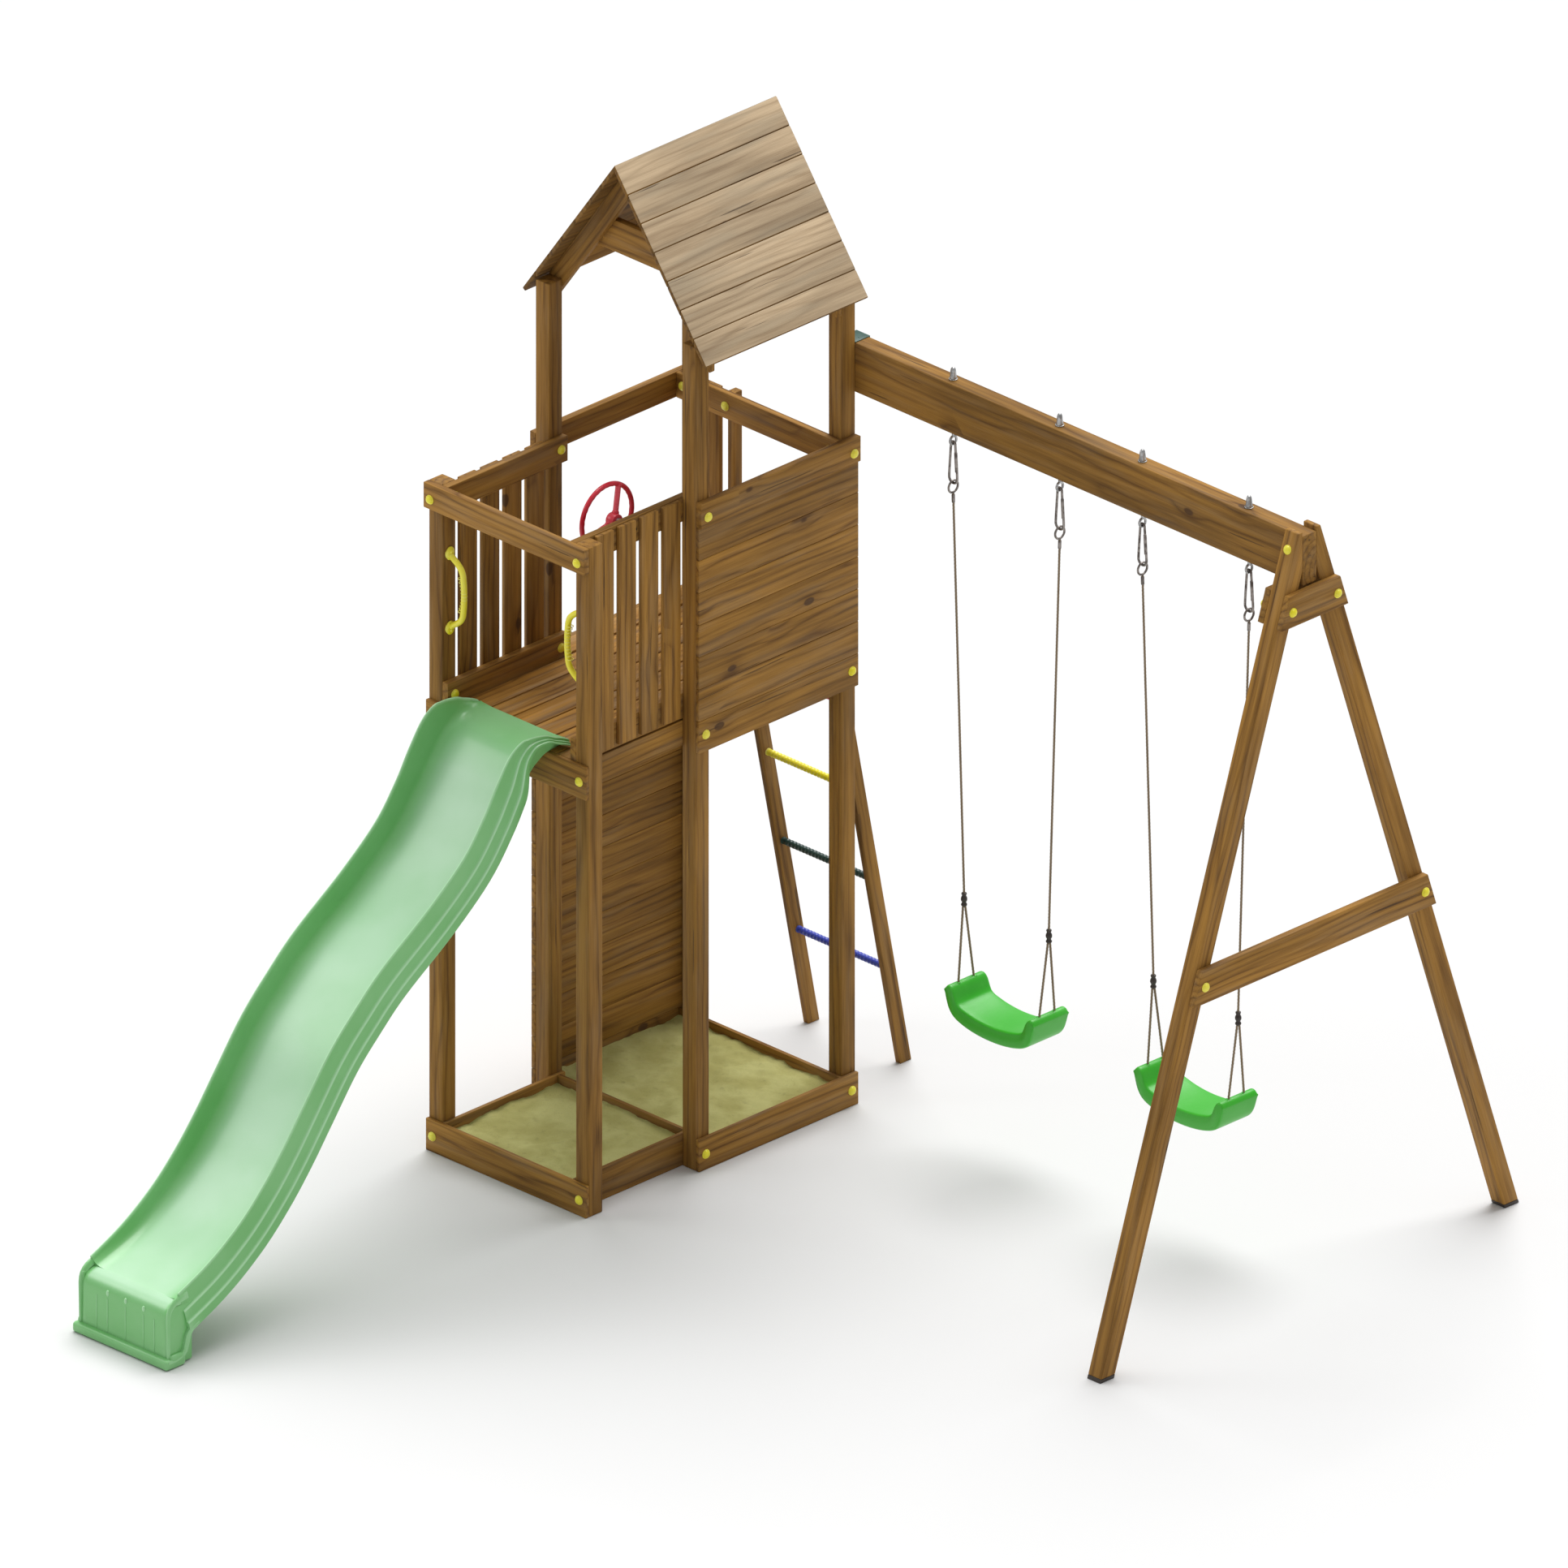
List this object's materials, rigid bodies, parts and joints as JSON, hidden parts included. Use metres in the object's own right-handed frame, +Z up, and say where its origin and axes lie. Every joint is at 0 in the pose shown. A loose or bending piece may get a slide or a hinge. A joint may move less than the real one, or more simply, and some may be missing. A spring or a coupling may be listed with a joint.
{
  "type": "swing set",
  "caption": "Timber play tower with pitched roof, balcony, plastic slide, sandbox, climbing wall and ladder, joined to an A-frame beam that carries rope swings.",
  "frame": {"origin": "centre of the bounding box at ground level", "axes": "+X from the tower along the swing beam, +Y from the slide's end towards the ladder, +Z up"},
  "size_m": [2.6644, 3.702, 3.235],
  "materials": {
    "timber": "oiled, rough sawn",
    "sandbox_timber": "oiled, rough sawn",
    "deck_timber": "oiled",
    "roof_timber": "weathered",
    "sand": "granular",
    "slide_plastic": "smooth",
    "seat_plastic": "smooth",
    "yellow_plastic": "smooth",
    "red_plastic": "smooth",
    "blue_plastic": "smooth",
    "dark_green_plastic": "smooth",
    "green_steel": "powder coated",
    "steel": "galvanised",
    "hook_steel": "galvanised",
    "rope": "twisted rope",
    "black_plastic": "smooth"
  },
  "bodies": {
    "frame": {"post_front_left": "timber", "post_front_right": "timber", "post_mid_left": "timber", "post_mid_right": "timber", "post_back_left": "timber", "post_back_right": "timber", "deck_front_board": "timber", "front_rail": "timber", "left_rails": "timber", "right_rails": "timber", "tower_left_rail": "timber", "tower_right_rail": "timber", "back_rail": "timber", "left_slats": "timber", "right_slats": "timber", "back_slats": "timber", "side_panel": "timber", "rafters": "timber", "roof_ties": "timber", "swing_beam": "timber", "leg_front": "timber", "leg_back": "timber", "gussets": "timber", "leg_brace": "timber", "ladder_sides": "timber", "sandbox_front_board": "sandbox_timber", "sandbox_side_boards": "sandbox_timber", "sandbox_right_board": "sandbox_timber", "sandbox_back_board": "sandbox_timber", "sandbox_divider": "sandbox_timber", "deck_joists": "sandbox_timber", "climbing_wall": "sandbox_timber", "deck_boards": "deck_timber", "roof_boards_left": "roof_timber", "roof_boards_right": "roof_timber", "sand_front": "sand", "sand_back": "sand", "slide": "slide_plastic", "screw_caps": "yellow_plastic", "grab_handles": "yellow_plastic", "rung_yellow": "yellow_plastic", "rung_red": "red_plastic", "climbing_holds": "red_plastic", "rung_blue": "blue_plastic", "rung_green": "dark_green_plastic", "beam_bracket": "green_steel", "coach_screws": "steel", "eye_bolts": "steel", "wheel_axle": "steel", "leg_pads": "black_plastic"},
    "swing_1": {"swing_1_hooks": "hook_steel", "swing_1_ropes": "rope", "swing_1_adjusters": "black_plastic", "swing_1_seat": "seat_plastic"},
    "swing_2": {"swing_2_hooks": "hook_steel", "swing_2_ropes": "rope", "swing_2_adjusters": "black_plastic", "swing_2_seat": "seat_plastic"},
    "wheel": {"steering_wheel": "red_plastic"}
  },
  "joints": [
    {"name": "swing_1_hinge", "type": "hinge", "parent": "frame", "child": "swing_1", "pos_m": [0.01075, 0.962, 2.3213], "axis": [1, 0, 0], "range_deg": [-60, 60]},
    {"name": "swing_2_hinge", "type": "hinge", "parent": "frame", "child": "swing_2", "pos_m": [0.81375, 0.962, 2.3213], "axis": [1, 0, 0], "range_deg": [-60, 60]},
    {"name": "wheel_spin", "type": "hinge", "parent": "frame", "child": "wheel", "pos_m": [-0.75025, 0.058, 2.185], "axis": [1, 0, 0], "continuous": true}
  ]
}
